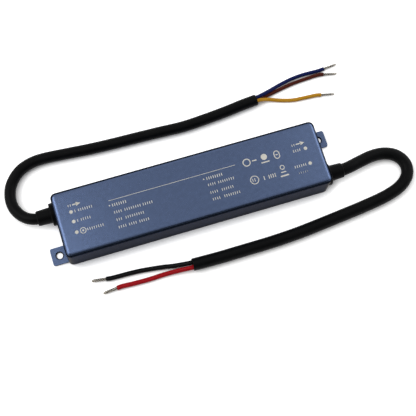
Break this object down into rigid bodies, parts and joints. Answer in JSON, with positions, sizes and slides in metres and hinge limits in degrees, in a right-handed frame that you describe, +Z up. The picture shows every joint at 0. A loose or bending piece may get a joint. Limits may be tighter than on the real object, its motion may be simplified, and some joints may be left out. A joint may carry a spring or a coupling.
{
  "type": "led driver",
  "caption": "Slim potted LED driver in a rounded blue metal case with diagonal mounting ears, cable glands, and mains and output leads with bared ends.",
  "frame": {"origin": "centre of the base on the surface it is screwed to", "axes": "+X along the case from the mains end to the output end, +Z up from the base, so -Y is the long side towards the picture's camera"},
  "size_m": [0.2994, 0.1263, 0.0265],
  "materials": {
    "case_blue": "satin blue anodised aluminium",
    "sealant": "cured sealant",
    "black_rubber": "matte black rubber",
    "brown_insulation": "satin brown insulation",
    "blue_insulation": "satin blue insulation",
    "earth_insulation": "satin plain amber insulation",
    "red_insulation": "satin red insulation",
    "black_insulation": "satin black insulation",
    "tinned_copper": "tinned strands",
    "polyester_sheet": "translucent sheet",
    "nylon": "natural nylon",
    "laminate": "green glass laminate",
    "tail_insulation": "insulated tails",
    "black_moulding": "black moulding",
    "disc_coating": "dipped coating",
    "film_box": "yellow box",
    "ferrite": "sintered ferrite",
    "winding_copper": "enamelled copper",
    "screw_steel": "plated steel",
    "bar_aluminium": "mill finish",
    "thermal_pad": "silicone pad",
    "compound": "cured casting compound"
  },
  "bodies": {
    "root": {"housing": "case_blue", "base_plate": "case_blue", "base_sealant": "sealant", "mains_gland": "black_rubber", "output_gland": "black_rubber", "mains_cable": "black_rubber", "brown_core": "brown_insulation", "blue_core": "blue_insulation", "earth_core": "earth_insulation", "brown_strands": "tinned_copper", "blue_strands": "tinned_copper", "earth_strands": "tinned_copper", "output_cable": "black_rubber", "red_core": "red_insulation", "black_core": "black_insulation", "red_strands": "tinned_copper", "black_strands": "tinned_copper", "insulating_sheet": "polyester_sheet", "board_spacers": "nylon", "circuit_board": "laminate", "mains_tails": "tail_insulation", "output_tails": "tail_insulation", "fuse": "black_moulding", "varistor": "disc_coating", "inrush_thermistor": "disc_coating", "filter_capacitor": "film_box", "choke_base": "black_moulding", "choke_core": "ferrite", "choke_windings": "winding_copper", "bridge_rectifier": "black_moulding", "primary_transistors": "black_moulding", "device_screws": "screw_steel", "primary_bar": "bar_aluminium", "primary_pad": "thermal_pad", "boost_core": "ferrite", "boost_former": "nylon", "boost_winding": "winding_copper", "reservoir_capacitors": "bar_aluminium", "transformer_core": "ferrite", "transformer_former": "nylon", "transformer_winding": "winding_copper", "safety_capacitors": "disc_coating", "control_board": "laminate", "control_chips": "black_moulding", "optocouplers": "nylon", "output_rectifiers": "black_moulding", "output_bar": "bar_aluminium", "output_pad": "thermal_pad", "output_capacitors": "bar_aluminium", "output_choke_core": "ferrite", "output_choke_winding": "winding_copper", "potting": "compound"}
  },
  "joints": []
}
